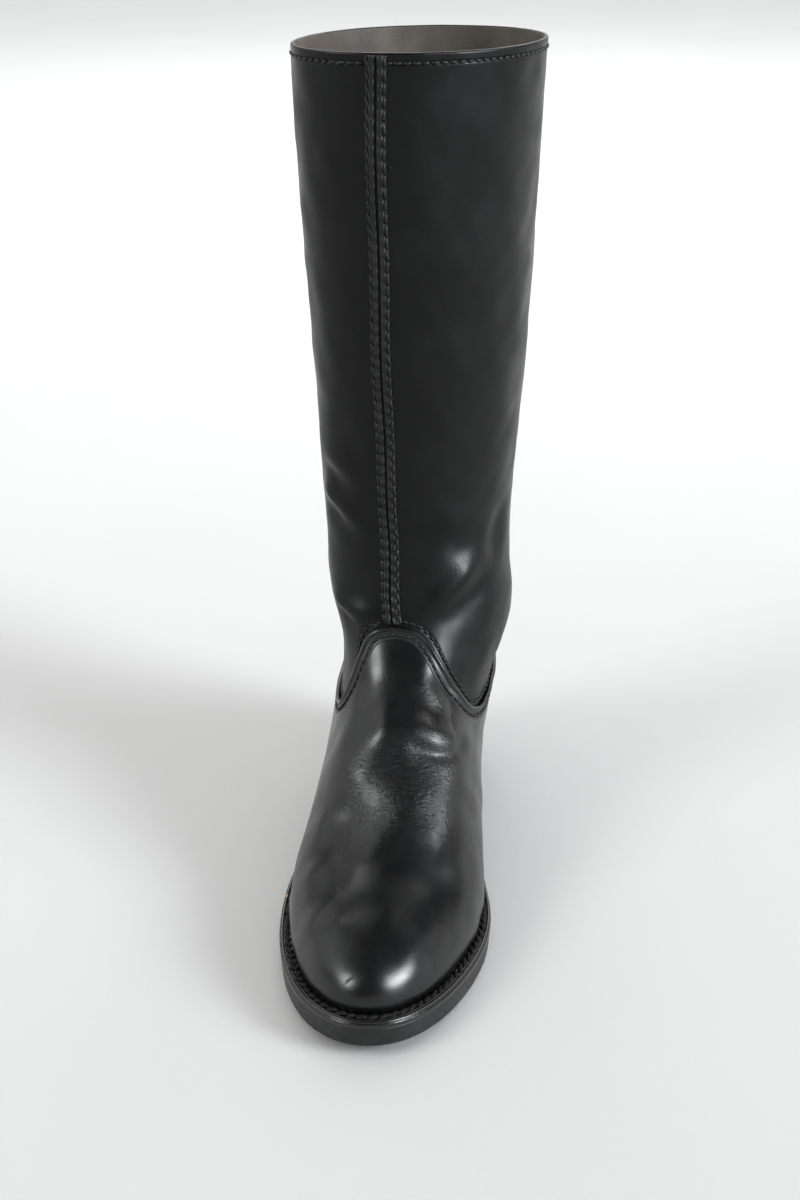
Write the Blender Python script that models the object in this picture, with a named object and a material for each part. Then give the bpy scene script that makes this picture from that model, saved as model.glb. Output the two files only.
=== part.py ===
# A tall pull-on leather boot for the right foot, standing empty on its sole.
# Sizes are millimetres. The toe points to -Y, the inner (medial) side to +X, and z is 0 on the floor.
from collections import namedtuple

import bmesh
import bpy
import numpy as np

MM = 0.001

# Driving sizes
BOOT_HEIGHT = 385.0
MIDDLE_X = 0.72
MIDDLE_Y = -5.06
TOE_Y = -138.5
TOE_ROUND = 98.0
HEEL_ROUND = 31.0
FEATHER_LOW = 13.0
FEATHER_SEAT = 38.0
TOE_SPRING = 6.0
SPRING_START_Y = -74.0
SHANK_START_Y = -40.0
SHANK_END_Y = 65.0
SWELL_TOP = 0.8
LEG_ROUNDNESS = 2.1
SAG_LEVEL = 9.0

UPPER_WALL = 2.0
VAMP_WALL = 1.7
VAMP_LIP = 0.5
VAMP_CLEAR = 0.45
GAP = 0.3

WELT_THICK = 3.2
WELT_TUCK = 8.0
WELT_UNDERCUT = 0.5
FOREFOOT_THICK = 9.2
WAIST_THICK = 5.0
WAIST_START_Y = 10.0
SOLE_GROUND_INSET = 1.6
SOLE_SIDE_INSET = 0.6
SOLE_TOP_INSET = 0.9
SOLE_LOW_ROUND = 0.8
SOLE_TOP_ROUND = 1.2
INSOLE_THICK = 3.5
INSOLE_CLEAR = 1.2
HEEL_BREAST_Y = 74.0
TOP_LIFT_THICK = 6.0
HEEL_TAPER = 0.95
HEEL_DRAW_IN = 0.01
HEEL_INSET = 0.6
BREAST_BOW = 1.5
LIFT_BEVEL = 0.02
LIFT_ROUND = 1.0
OUTSOLE_DROP = GAP + WELT_THICK + GAP

# How finely the forms are cut into faces
COLUMNS = 44
VAMP_ROWS = 15
VAMP_ROW_BIAS = 1.25
SHAFT_ROWS = 14
SHAFT_ROW_BIAS = 1.1
TOE_POINTS = 22
RIDGE_POINTS = 14
FRONT_SPACING = 1.5
HEEL_POINTS = 11
SLOPE_STEP = 0.002
SHARP_ANGLE = 40.0

# Levels number the girths: 0 at the feather line, 10 at the ankle bend, 16 at the collar.
ANKLE_LEVEL = 10.0
COLLAR_LEVEL = 16.0

# The foot, a row for each station from toe to heel. Reaches run from the ridge line to the feather line,
# swells are what the sides stand out above it, ridge is the height of the top over the feather line.
Station = namedtuple("Station", "y lateral medial lateral_swell medial_swell centre ridge roundness")
FOOT = (
    Station(-138.5, 40.0, 39.0, 1.0, 1.0, 0.5, 35.0, 2.05),
    Station(-98, 43.5, 41.0, 1.0, 1.0, 1.5, 38.0, 2.1),
    Station(-60, 45.5, 41.5, 1.0, 1.5, 2.5, 47.0, 2.15),
    Station(-30, 44.0, 38.0, 0.5, 4.0, 1.5, 60.5, 2.05),
    Station(0, 38.5, 33.5, 1.0, 7.0, 0.0, 78.0, 1.95),
    Station(30, 34.0, 30.5, 2.5, 10.0, -1.0, 102.0, 1.9),
    Station(66, 31.0, 30.0, 4.5, 13.0, -0.5, 150.0, 2.0),
    Station(100, 30.5, 30.5, 4.0, 9.0, 0.0, 200.0, 2.2),
    Station(132, 30.5, 30.5, 3.0, 3.5, 0.0, 240.0, 2.2),
)

# The back line and the leg, a row for each girth. Leg is the share of the leg's oval in the girth,
# turn is how far the oval is turned outwards, in degrees.
Girth = namedtuple("Girth", "level back_y back_z lateral medial leg turn")
GIRTHS = (
    Girth(0, 131.0, 38.0, 36.0, 43.0, 0.0, 0.0),
    Girth(2, 134.0, 53.0, 36.0, 43.0, 0.0, 0.0),
    Girth(4, 134.0, 66.0, 36.0, 43.0, 0.0, 0.0),
    Girth(6, 131.0, 79.0, 36.5, 50.0, 0.1, 3.0),
    Girth(8, 126.0, 99.0, 39.0, 53.0, 0.55, 6.0),
    Girth(9, 124.2, 114.0, 41.5, 48.5, 0.85, 8.0),
    Girth(10, 123.5, 132.0, 42.5, 45.5, 1.0, 9.5),
    Girth(11, 125.0, 162.0, 43.5, 45.5, 1.0, 10.5),
    Girth(12, 128.0, 200.0, 45.0, 47.5, 1.0, 11.5),
    Girth(13, 131.0, 243.0, 46.5, 50.0, 1.0, 12.0),
    Girth(14, 133.5, 290.0, 49.0, 51.5, 1.0, 12.0),
    Girth(15, 135.0, 337.0, 51.5, 53.0, 1.0, 12.0),
    Girth(16, 135.5, BOOT_HEIGHT, 53.0, 54.5, 1.0, 12.0),
)

# The front of the leg above the ankle bend
Shin = namedtuple("Shin", "level y z")
SHIN = (
    Shin(10, 27.0, 151.0),
    Shin(11, 28.5, 176.0),
    Shin(12, 28.0, 208.0),
    Shin(13, 25.5, 247.0),
    Shin(14, 22.0, 292.0),
    Shin(15, 19.5, 338.0),
    Shin(16, 18.5, BOOT_HEIGHT),
)
RIDGE_END_Y = 14.0
SEAM_START = 0.12

# The vamp's top edge, as a level for each turn round the boot from the heel, on both sides
Edge = namedtuple("Edge", "turn lateral medial")
TOPLINE = (
    Edge(0.00, 7.6, 7.6),
    Edge(0.10, 7.25, 7.2),
    Edge(0.17, 6.55, 6.25),
    Edge(0.215, 6.22, 5.85),
    Edge(0.255, 6.08, 5.68),
    Edge(0.29, 6.04, 5.72),
    Edge(0.33, 6.12, 6.2),
    Edge(0.37, 6.65, 6.95),
    Edge(0.42, 7.85, 7.8),
    Edge(0.46, 8.48, 8.5),
    Edge(0.50, 8.66, 8.66),
)

# How far the welt and sole stand out from the feather line
Rim = namedtuple("Rim", "y reach")
RIMS = (Rim(-148, 8.5), Rim(-100, 7.0), Rim(-55, 6.0), Rim(0, 4.5), Rim(60, 3.5), Rim(140, 3.0))

# The welt's section: how far from its outer edge inwards, and how far below its top
Step = namedtuple("Step", "inset drop")
WELT_EDGE = (Step(3.4, 0.0), Step(2.6, 0.9), Step(1.9, 0.9), Step(1.1, 0.0), Step(0.3, 0.5), Step(0.0, 1.6))

# The raised front seam's section: across from its centre groove, and height over the shaft
Ridge = namedtuple("Ridge", "across height")
SEAM_SECTION = (Ridge(-4.6, 0.6), Ridge(-3.9, 1.1), Ridge(-1.1, 1.5), Ridge(0.0, 0.7),
                Ridge(1.1, 1.5), Ridge(3.9, 1.1), Ridge(4.6, 0.6))

# name: colour, roughness
FINISHES = {
    "upper": ((0.014, 0.014, 0.015), 0.38),
    "vamp": ((0.012, 0.012, 0.013), 0.33),
    "front_seam": ((0.012, 0.012, 0.013), 0.40),
    "welt": ((0.016, 0.016, 0.016), 0.50),
    "outsole": ((0.020, 0.020, 0.021), 0.60),
    "heel": ((0.020, 0.019, 0.018), 0.55),
    "top_lift": ((0.014, 0.014, 0.014), 0.75),
    "insole": ((0.22, 0.15, 0.09), 0.70),
}


def ease(share):
    share = np.clip(share, 0.0, 1.0)
    return share * share * (3.0 - 2.0 * share)


def spline(knots, values, at):
    """Natural cubic spline through the rows of a table."""
    knots = np.asarray(knots, float)
    values = np.asarray(values, float)
    at = np.clip(np.asarray(at, float), knots[0], knots[-1])
    count = len(knots)
    step = np.diff(knots)
    rise = np.diff(values) / step
    matrix = np.eye(count)
    target = np.zeros(count)
    for i in range(1, count - 1):
        matrix[i, i - 1:i + 2] = step[i - 1], 2.0 * (step[i - 1] + step[i]), step[i]
        target[i] = 6.0 * (rise[i] - rise[i - 1])
    bend = np.linalg.solve(matrix, target)
    i = np.clip(np.searchsorted(knots, at, side="right") - 1, 0, count - 2)
    before = at - knots[i]
    after = knots[i + 1] - at
    cubic = (bend[i] * after ** 3 + bend[i + 1] * before ** 3) / (6.0 * step[i])
    low = (values[i] / step[i] - bend[i] * step[i] / 6.0) * after
    high = (values[i + 1] / step[i] - bend[i + 1] * step[i] / 6.0) * before
    return cubic + low + high


def column(table, name):
    return [getattr(row, name) for row in table]


def foot(name, y):
    return spline(column(FOOT, "y"), column(FOOT, name), y)


def girth(name, level):
    return spline(column(GIRTHS, "level"), column(GIRTHS, name), level)


def feather_height(y):
    """Height of the feather line: heel seat, shank, flat ball and toe spring."""
    shank = ease((y - SHANK_START_Y) / (SHANK_END_Y - SHANK_START_Y))
    spring = np.maximum((SPRING_START_Y - y) / (SPRING_START_Y - TOE_Y), 0.0)
    return FEATHER_LOW + (FEATHER_SEAT - FEATHER_LOW) * shank + TOE_SPRING * spring ** 2


def make_front_line():
    """Side view of the front: round toe, ridge of the foot, ankle bend and shin."""
    roundness = FOOT[1].roundness
    angle = np.linspace(0.0, np.pi / 2.0, TOE_POINTS)
    toe_y = TOE_Y + TOE_ROUND * (1.0 - np.cos(angle) ** (2.0 / roundness))
    toe_z = feather_height(toe_y) + foot("ridge", toe_y) * np.sin(angle) ** (2.0 / roundness)
    ridge_y = np.linspace(TOE_Y + TOE_ROUND, RIDGE_END_Y, RIDGE_POINTS)[1:]
    ridge_z = feather_height(ridge_y) + foot("ridge", ridge_y)
    y = np.concatenate([toe_y, ridge_y, column(SHIN, "y")])
    z = np.concatenate([toe_z, ridge_z, column(SHIN, "z")])
    along = np.concatenate([[0.0], np.cumsum(np.hypot(np.diff(y), np.diff(z)))])
    keep = np.concatenate([[True], np.diff(along) > FRONT_SPACING])
    shin_along = along[-len(SHIN):]
    return along[keep], y[keep], z[keep], shin_along


FRONT_ALONG, FRONT_Y, FRONT_Z, SHIN_ALONG = make_front_line()


def front_point(level):
    """Where a girth meets the front line."""
    below = SHIN_ALONG[0] * level / ANKLE_LEVEL
    above = spline(column(SHIN, "level"), SHIN_ALONG, level)
    along = np.where(level < ANKLE_LEVEL, below, above)
    return spline(FRONT_ALONG, FRONT_Y, along), spline(FRONT_ALONG, FRONT_Z, along)


def toe_share(y):
    return np.clip((TOE_Y + TOE_ROUND - y) / TOE_ROUND, 0.0, 1.0)


def foot_rise(y, z):
    return np.maximum((z - feather_height(y)) / foot("ridge", y), 0.0)


def front_fill(y, z):
    """How full the foot's round section is at a girth's front end, where its width closes."""
    power = foot("roundness", y)
    return toe_share(y) ** power + foot_rise(y, z) ** power


def surface(turn, level):
    """Outside of the upper. Turn runs 0 to 1 round the boot: heel, lateral side, front, medial side."""
    turn, level = np.broadcast_arrays(np.asarray(turn, float), np.asarray(level, float))
    forward = (1.0 - np.cos(2.0 * np.pi * turn)) / 2.0
    lateral = np.mod(turn, 1.0) < 0.5
    front_y, front_z = front_point(level)
    back_y = girth("back_y", level)
    back_z = girth("back_z", level)
    y = back_y + (front_y - back_y) * forward

    # low girths follow the feather line's shank and toe spring
    feather_y = GIRTHS[0].back_y + (TOE_Y - GIRTHS[0].back_y) * forward
    feather_chord = FEATHER_SEAT + (feather_height(TOE_Y) - FEATHER_SEAT) * forward
    sag = (feather_height(feather_y) - feather_chord) * np.clip(1.0 - level / SAG_LEVEL, 0.0, 1.0) ** 2
    z = back_z + (front_z - back_z) * forward + sag

    # foot: round sections under a ridge, closed by a round toe and heel
    power = foot("roundness", y)
    rise = foot_rise(y, z)
    fill = (toe_share(y) ** power + rise ** power) / front_fill(front_y, front_z)
    section = np.clip(1.0 - fill, 0.0, 1.0) ** (1.0 / power)
    heel = np.clip((back_y - y) / HEEL_ROUND, 0.0, 1.0)
    section = section * np.sqrt(1.0 - (1.0 - heel) ** 2)
    swell = np.where(lateral, foot("lateral_swell", y), foot("medial_swell", y))
    reach = np.where(lateral, foot("lateral", y), foot("medial", y))
    foot_width = (reach + swell * np.sin(np.pi * np.clip(rise / SWELL_TOP, 0.0, 1.0))) * section

    # leg: an oval turned outwards
    oval = np.where(lateral, girth("lateral", level), girth("medial", level))
    end_share = np.abs(2.0 * forward - 1.0)
    leg_width = oval * (1.0 - end_share ** LEG_ROUNDNESS) ** (1.0 / LEG_ROUNDNESS)
    turned = -np.tan(np.radians(girth("turn", level))) * (forward - 0.5) * (back_y - front_y)

    leg = ease(np.interp(level, column(GIRTHS, "level"), column(GIRTHS, "leg")))
    centre = foot("centre", y) * (1.0 - leg) + turned * leg
    width = foot_width * (1.0 - leg) + leg_width * leg
    x = centre + np.where(lateral, -width, width)
    return np.stack([x, y, z], axis=-1)


def offset_surface(turn, level, out):
    """The surface moved out along its own normal."""
    lower = np.maximum(level - SLOPE_STEP, 0.0)
    upper = np.minimum(level + SLOPE_STEP, COLLAR_LEVEL)
    round_it = surface(turn + SLOPE_STEP, level) - surface(turn - SLOPE_STEP, level)
    up_it = surface(turn, upper) - surface(turn, lower)
    normal = np.cross(round_it, up_it)
    normal = normal / np.linalg.norm(normal, axis=-1, keepdims=True)
    out = np.asarray(out, float)
    return surface(turn, level) + normal * out[..., None]


def topline(turn):
    near = np.minimum(turn, 1.0 - turn)
    lateral = spline(column(TOPLINE, "turn"), column(TOPLINE, "lateral"), near)
    medial = spline(column(TOPLINE, "turn"), column(TOPLINE, "medial"), near)
    return np.where(turn <= 0.5, lateral, medial)


def vamp_levels(turn):
    share = np.linspace(0.0, 1.0, VAMP_ROWS + 1)[:, None] ** VAMP_ROW_BIAS
    return topline(turn) * share


def shaft_levels(turn):
    share = np.linspace(0.0, 1.0, SHAFT_ROWS + 1)[1:, None] ** SHAFT_ROW_BIAS
    edge = topline(turn)
    return edge + (COLLAR_LEVEL - edge) * share


def sole_edge(turn, inset):
    """Plan of the sole's edge, set out from the feather line, less an inset."""
    at = surface(turn, 0.0)
    along = surface(turn + SLOPE_STEP, 0.0) - surface(turn - SLOPE_STEP, 0.0)
    out = np.stack([along[:, 1], -along[:, 0]], axis=-1)
    out = out / np.linalg.norm(out, axis=-1, keepdims=True)
    reach = spline(column(RIMS, "y"), column(RIMS, "reach"), at[:, 1]) - inset
    return at[:, :2] + out * reach[:, None]


def add_piece(name, points, faces):
    """One closed piece with its own material."""
    mesh = bpy.data.meshes.new(name)
    middle = np.array([MIDDLE_X, MIDDLE_Y, 0.0])
    mesh.from_pydata(((np.asarray(points) - middle) * MM).tolist(), [], faces)
    work = bmesh.new()
    work.from_mesh(mesh)
    bmesh.ops.recalc_face_normals(work, faces=work.faces)
    work.to_mesh(mesh)
    work.free()
    mesh.shade_smooth()
    mesh.set_sharp_from_angle(angle=np.radians(SHARP_ANGLE))

    colour, roughness = FINISHES[name]
    material = bpy.data.materials.new(name + "_finish")
    material.use_nodes = True
    shader = material.node_tree.nodes["Principled BSDF"]
    shader.inputs["Base Color"].default_value = (*colour, 1.0)
    shader.inputs["Roughness"].default_value = roughness
    mesh.materials.append(material)

    piece = bpy.data.objects.new(name, mesh)
    bpy.context.scene.collection.objects.link(piece)
    return piece


def grid_faces(rows, columns, close_rows, close_columns, fold):
    """Triangles of a grid of points. From the fold row on, the rows run back down inside,
    and the diagonals turn over, so that walls facing each other are cut alike."""
    faces = []
    for r in range(rows if close_rows else rows - 1):
        for c in range(columns if close_columns else columns - 1):
            r2 = (r + 1) % rows
            c2 = (c + 1) % columns
            here, beside = r * columns + c, r * columns + c2
            above, across = r2 * columns + c, r2 * columns + c2
            if r < fold:
                faces += [(here, beside, across), (here, across, above)]
            else:
                faces += [(here, beside, above), (beside, across, above)]
    return faces


def add_sleeve(name, grid):
    """A wall closed round the boot and round its own section. Grid rows go up outside and down inside."""
    rows, columns, _ = grid.shape
    return add_piece(name, grid.reshape(-1, 3), grid_faces(rows, columns, True, True, rows // 2))


def add_bar(name, grid):
    """A bar with a closed section in each row, capped at both ends."""
    rows, columns, _ = grid.shape
    faces = grid_faces(rows, columns, False, True, rows)
    half = columns // 2
    for r in (0, rows - 1):
        for c in range(half - 1):
            corners = (c, c + 1, columns - 2 - c, columns - 1 - c)
            faces.append(tuple(r * columns + k for k in corners))
    return add_piece(name, grid.reshape(-1, 3), faces)


def add_slab(name, grid):
    """A stack of outlines that start at the heel, closed below and above by strips across."""
    rows, columns, _ = grid.shape
    faces = grid_faces(rows, columns, False, True, rows)
    half = columns // 2
    for r in (0, rows - 1):
        start = r * columns
        faces.append((start, start + 1, start + columns - 1))
        for c in range(1, half - 1):
            faces.append((start + c, start + c + 1, start + columns - c - 1, start + columns - c))
        faces.append((start + half - 1, start + half, start + half + 1))
    return add_piece(name, grid.reshape(-1, 3), faces)


def build_upper(turns):
    levels = np.vstack([vamp_levels(turns), shaft_levels(turns)])
    turn = np.broadcast_to(turns, levels.shape)
    outside = offset_surface(turn, levels, np.zeros(levels.shape))
    inside = offset_surface(turn, levels, np.full(levels.shape, -UPPER_WALL))
    inside[0, :, 2] = feather_height(inside[0, :, 1])
    inside[-1, :, 2] = outside[-1, :, 2]
    return add_sleeve("upper", np.concatenate([outside, inside[::-1]]))


def build_vamp(turns):
    """The foot's outer leather, up to its scalloped edge with a turned lip."""
    levels = vamp_levels(turns)
    turn = np.broadcast_to(turns, levels.shape)
    lip = np.zeros(levels.shape)
    lip[-2:] = VAMP_LIP
    inside = offset_surface(turn, levels, np.full(levels.shape, VAMP_CLEAR))
    outside = offset_surface(turn, levels, VAMP_CLEAR + VAMP_WALL + lip)
    for wall in (inside, outside):
        wall[0, :, 2] = feather_height(wall[0, :, 1])
    return add_sleeve("vamp", np.concatenate([outside, inside[::-1]]))


def build_front_seam():
    """The raised seam up the front of the shaft, from the vamp's peak to the collar."""
    peak = topline(np.array(0.5))
    share = np.linspace(0.0, 1.0, SHAFT_ROWS + 1)[:, None] ** SHAFT_ROW_BIAS
    start = peak + SEAM_START
    levels = start + (COLLAR_LEVEL - start) * share
    across_step = surface(0.5 + SLOPE_STEP, levels) - surface(0.5 - SLOPE_STEP, levels)
    across_speed = np.linalg.norm(across_step, axis=-1) / (2.0 * SLOPE_STEP)
    turn = 0.5 + np.array(column(SEAM_SECTION, "across")) / across_speed
    levels = np.broadcast_to(levels, turn.shape)
    height = np.broadcast_to(column(SEAM_SECTION, "height"), turn.shape) + GAP
    top = offset_surface(turn, levels, height)
    base = offset_surface(turn, levels, np.full(turn.shape, GAP))
    return add_bar("front_seam", np.concatenate([top, base[:, ::-1]], axis=1))


def at_height(plan, height):
    return np.column_stack([plan, np.broadcast_to(height, len(plan))])


def under_feather(plan, drop):
    """Points of a plan laid along the feather line's curve, some way below it."""
    return at_height(plan, feather_height(plan[:, 1]) - drop)


def feather_reach(turns):
    """How far the sole's edge stands out from the feather line at each turn."""
    return np.linalg.norm(sole_edge(turns, 0.0) - surface(turns, 0.0)[:, :2], axis=1)


def build_welt(turns):
    """A flat strip under the upper, with a stitch groove and a rounded bead at its edge."""
    rings = [under_feather(sole_edge(turns, step.inset), GAP + step.drop) for step in WELT_EDGE]
    tuck = sole_edge(turns, feather_reach(turns) + WELT_TUCK)
    rings.append(under_feather(sole_edge(turns, WELT_UNDERCUT), GAP + WELT_THICK))
    rings.append(under_feather(tuck, GAP + WELT_THICK))
    rings.append(under_feather(tuck, GAP))
    return add_sleeve("welt", np.array(rings))


def outsole_bottom(y):
    thin = ease((y - SHANK_START_Y) / (WAIST_START_Y - SHANK_START_Y))
    thick = FOREFOOT_THICK + (WAIST_THICK - FOREFOOT_THICK) * thin
    return feather_height(y) - OUTSOLE_DROP - thick


def build_outsole(turns):
    """Leather sole with rounded edges, thick at the ball and thin through the waist."""
    ground = sole_edge(turns, SOLE_GROUND_INSET)
    side = sole_edge(turns, SOLE_SIDE_INSET)
    rings = [
        at_height(ground, outsole_bottom(ground[:, 1])),
        at_height(side, outsole_bottom(side[:, 1]) + SOLE_LOW_ROUND),
        under_feather(sole_edge(turns, 0.0), OUTSOLE_DROP + SOLE_TOP_ROUND),
        under_feather(sole_edge(turns, SOLE_TOP_INSET), OUTSOLE_DROP),
    ]
    return add_slab("outsole", np.array(rings))


def heel_plan(scale):
    """The heel's outline: the sole's edge behind the breast, with a straight front."""
    back_y = GIRTHS[0].back_y
    forward = (back_y - HEEL_BREAST_Y) / (back_y - TOE_Y)
    breast = np.arccos(1.0 - 2.0 * forward) / (2.0 * np.pi)
    lateral = np.linspace(0.0, breast, HEEL_POINTS)
    medial = 1.0 - lateral[:0:-1]
    rim = sole_edge(np.concatenate([lateral, medial]), HEEL_INSET)
    front = np.array([[0.0, rim[len(lateral) - 1, 1] + BREAST_BOW]])
    plan = np.vstack([rim[:len(lateral)], front, rim[len(lateral):]])
    middle = np.array([0.0, plan[:, 1].mean()])
    return middle + (plan - middle) * scale


def build_heel():
    top = FEATHER_SEAT - OUTSOLE_DROP - WAIST_THICK - GAP
    low = TOP_LIFT_THICK + GAP
    waist = heel_plan((1.0 + HEEL_TAPER) / 2.0 - HEEL_DRAW_IN)
    rings = [
        at_height(heel_plan(HEEL_TAPER), low),
        at_height(waist, (low + top) / 2.0),
        at_height(heel_plan(1.0), top),
    ]
    add_slab("heel", np.array(rings))
    lift = heel_plan(HEEL_TAPER)
    foot_print = heel_plan(HEEL_TAPER - LIFT_BEVEL)
    rings = [
        at_height(foot_print, 0.0),
        at_height(lift, LIFT_ROUND),
        at_height(lift, TOP_LIFT_THICK),
    ]
    add_slab("top_lift", np.array(rings))


def build_insole(turns):
    plan = sole_edge(turns, feather_reach(turns) + UPPER_WALL + INSOLE_CLEAR)
    return add_slab("insole", np.array([under_feather(plan, 0.0), under_feather(plan, -INSOLE_THICK)]))


def main():
    for thing in list(bpy.data.objects):
        bpy.data.objects.remove(thing)
    turns = np.arange(COLUMNS) / COLUMNS
    build_upper(turns)
    build_vamp(turns)
    build_front_seam()
    build_welt(turns)
    build_outsole(turns)
    build_heel()
    build_insole(turns)


main()
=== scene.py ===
from math import radians

import bpy
import numpy as np
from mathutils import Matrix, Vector


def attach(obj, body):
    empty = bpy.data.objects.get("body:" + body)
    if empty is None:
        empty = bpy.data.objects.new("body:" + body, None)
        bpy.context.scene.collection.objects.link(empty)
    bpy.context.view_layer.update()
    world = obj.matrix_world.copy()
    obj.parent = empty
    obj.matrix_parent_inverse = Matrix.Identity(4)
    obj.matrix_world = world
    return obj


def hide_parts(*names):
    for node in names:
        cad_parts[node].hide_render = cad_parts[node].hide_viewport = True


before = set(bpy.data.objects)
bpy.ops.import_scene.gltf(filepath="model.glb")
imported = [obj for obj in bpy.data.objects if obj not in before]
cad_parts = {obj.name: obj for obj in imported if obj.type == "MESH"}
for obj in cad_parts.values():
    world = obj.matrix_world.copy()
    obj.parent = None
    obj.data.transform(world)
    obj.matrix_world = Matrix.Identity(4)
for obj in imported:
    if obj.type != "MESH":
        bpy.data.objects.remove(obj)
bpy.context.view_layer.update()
print("frame loaded:", ", ".join(sorted(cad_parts)))

mm = 0.001


# The last: sizes in mm, toe to -y, inner side to +x, floor at z 0, the same tables as the solids
def table(names, *rows):
    return dict(zip(names.split(), np.array(rows, float).T))


last = dict(
    toeY=-138.5, toeRound=98.0, heelRound=31.0,
    featherLow=13.0, featherSeat=38.0, toeSpring=6.0,
    springStartY=-74.0, shankStartY=-40.0, shankEndY=65.0,
    swellTop=0.8, legRoundness=2.1, sagLevel=9.0, ridgeEndY=14.0,
    ankleLevel=10.0, collarLevel=16.0, middle=(0.72, -5.06, 0.0),
    toePoints=22, ridgePoints=14, frontSpacing=1.5, slopeStep=0.002)

footTable = table(
    "y lateral medial lateralSwell medialSwell centre ridge roundness",
    (-138.5, 40.0, 39.0, 1.0, 1.0, 0.5, 35.0, 2.05),
    (-98, 43.5, 41.0, 1.0, 1.0, 1.5, 38.0, 2.1),
    (-60, 45.5, 41.5, 1.0, 1.5, 2.5, 47.0, 2.15),
    (-30, 44.0, 38.0, 0.5, 4.0, 1.5, 60.5, 2.05),
    (0, 38.5, 33.5, 1.0, 7.0, 0.0, 78.0, 1.95),
    (30, 34.0, 30.5, 2.5, 10.0, -1.0, 102.0, 1.9),
    (66, 31.0, 30.0, 4.5, 13.0, -0.5, 150.0, 2.0),
    (100, 30.5, 30.5, 4.0, 9.0, 0.0, 200.0, 2.2),
    (132, 30.5, 30.5, 3.0, 3.5, 0.0, 240.0, 2.2))

girthTable = table(
    "level backY backZ lateral medial leg turn",
    (0, 131.0, 38.0, 36.0, 43.0, 0.0, 0.0),
    (2, 134.0, 53.0, 36.0, 43.0, 0.0, 0.0),
    (4, 134.0, 66.0, 36.0, 43.0, 0.0, 0.0),
    (6, 131.0, 79.0, 36.5, 50.0, 0.1, 3.0),
    (8, 126.0, 99.0, 39.0, 53.0, 0.55, 6.0),
    (9, 124.2, 114.0, 41.5, 48.5, 0.85, 8.0),
    (10, 123.5, 132.0, 42.5, 45.5, 1.0, 9.5),
    (11, 125.0, 162.0, 43.5, 45.5, 1.0, 10.5),
    (12, 128.0, 200.0, 45.0, 47.5, 1.0, 11.5),
    (13, 131.0, 243.0, 46.5, 50.0, 1.0, 12.0),
    (14, 133.5, 290.0, 49.0, 51.5, 1.0, 12.0),
    (15, 135.0, 337.0, 51.5, 53.0, 1.0, 12.0),
    (16, 135.5, 385.0, 53.0, 54.5, 1.0, 12.0))

shinTable = table(
    "level y z",
    (10, 27.0, 151.0), (11, 28.5, 176.0), (12, 28.0, 208.0), (13, 25.5, 247.0),
    (14, 22.0, 292.0), (15, 19.5, 338.0), (16, 18.5, 385.0))

edgeTable = table(
    "turn lateral medial",
    (0.00, 7.6, 7.6), (0.10, 7.25, 7.2), (0.17, 6.55, 6.25), (0.215, 6.22, 5.85),
    (0.255, 6.08, 5.68), (0.29, 6.04, 5.72), (0.33, 6.12, 6.2), (0.37, 6.65, 6.95),
    (0.42, 7.85, 7.8), (0.46, 8.48, 8.5), (0.50, 8.66, 8.66))

rimTable = table("y reach", (-148, 8.5), (-100, 7.0), (-55, 6.0), (0, 4.5), (60, 3.5), (140, 3.0))


def ease(share):
    share = np.clip(share, 0.0, 1.0)
    return share * share * (3.0 - 2.0 * share)


def bell(distance, width):
    return np.exp(-(distance / width) ** 2)


# natural cubic spline through a table's rows
def spline(knots, values, at):
    at = np.clip(np.asarray(at, float), knots[0], knots[-1])
    step = np.diff(knots)
    rise = np.diff(values) / step
    matrix = np.eye(len(knots))
    target = np.zeros(len(knots))
    for i in range(1, len(knots) - 1):
        matrix[i, i - 1:i + 2] = step[i - 1], 2.0 * (step[i - 1] + step[i]), step[i]
        target[i] = 6.0 * (rise[i] - rise[i - 1])
    bend = np.linalg.solve(matrix, target)
    i = np.clip(np.searchsorted(knots, at, side="right") - 1, 0, len(knots) - 2)
    before = at - knots[i]
    after = knots[i + 1] - at
    cubic = (bend[i] * after ** 3 + bend[i + 1] * before ** 3) / (6.0 * step[i])
    low = (values[i] / step[i] - bend[i] * step[i] / 6.0) * after
    high = (values[i + 1] / step[i] - bend[i + 1] * step[i] / 6.0) * before
    return cubic + low + high


def footAt(name, y):
    return spline(footTable["y"], footTable[name], y)


def girthAt(name, level):
    return spline(girthTable["level"], girthTable[name], level)


def featherHeight(y):
    shank = ease((y - last["shankStartY"]) / (last["shankEndY"] - last["shankStartY"]))
    spring = np.maximum((last["springStartY"] - y) / (last["springStartY"] - last["toeY"]), 0.0)
    flat = last["featherLow"] + (last["featherSeat"] - last["featherLow"]) * shank
    return flat + last["toeSpring"] * spring ** 2


# side view of the front: round toe, ridge of the foot, ankle bend, shin
def makeFrontLine():
    power = footTable["roundness"][1]
    angle = np.linspace(0.0, np.pi / 2.0, last["toePoints"])
    toeY = last["toeY"] + last["toeRound"] * (1.0 - np.cos(angle) ** (2.0 / power))
    toeZ = featherHeight(toeY) + footAt("ridge", toeY) * np.sin(angle) ** (2.0 / power)
    ridgeY = np.linspace(last["toeY"] + last["toeRound"], last["ridgeEndY"], last["ridgePoints"])[1:]
    ridgeZ = featherHeight(ridgeY) + footAt("ridge", ridgeY)
    y = np.concatenate([toeY, ridgeY, shinTable["y"]])
    z = np.concatenate([toeZ, ridgeZ, shinTable["z"]])
    along = np.concatenate([[0.0], np.cumsum(np.hypot(np.diff(y), np.diff(z)))])
    keep = np.concatenate([[True], np.diff(along) > last["frontSpacing"]])
    return along[keep], y[keep], z[keep], along[-len(shinTable["y"]):]


frontAlong, frontLineY, frontLineZ, shinAlong = makeFrontLine()


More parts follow.
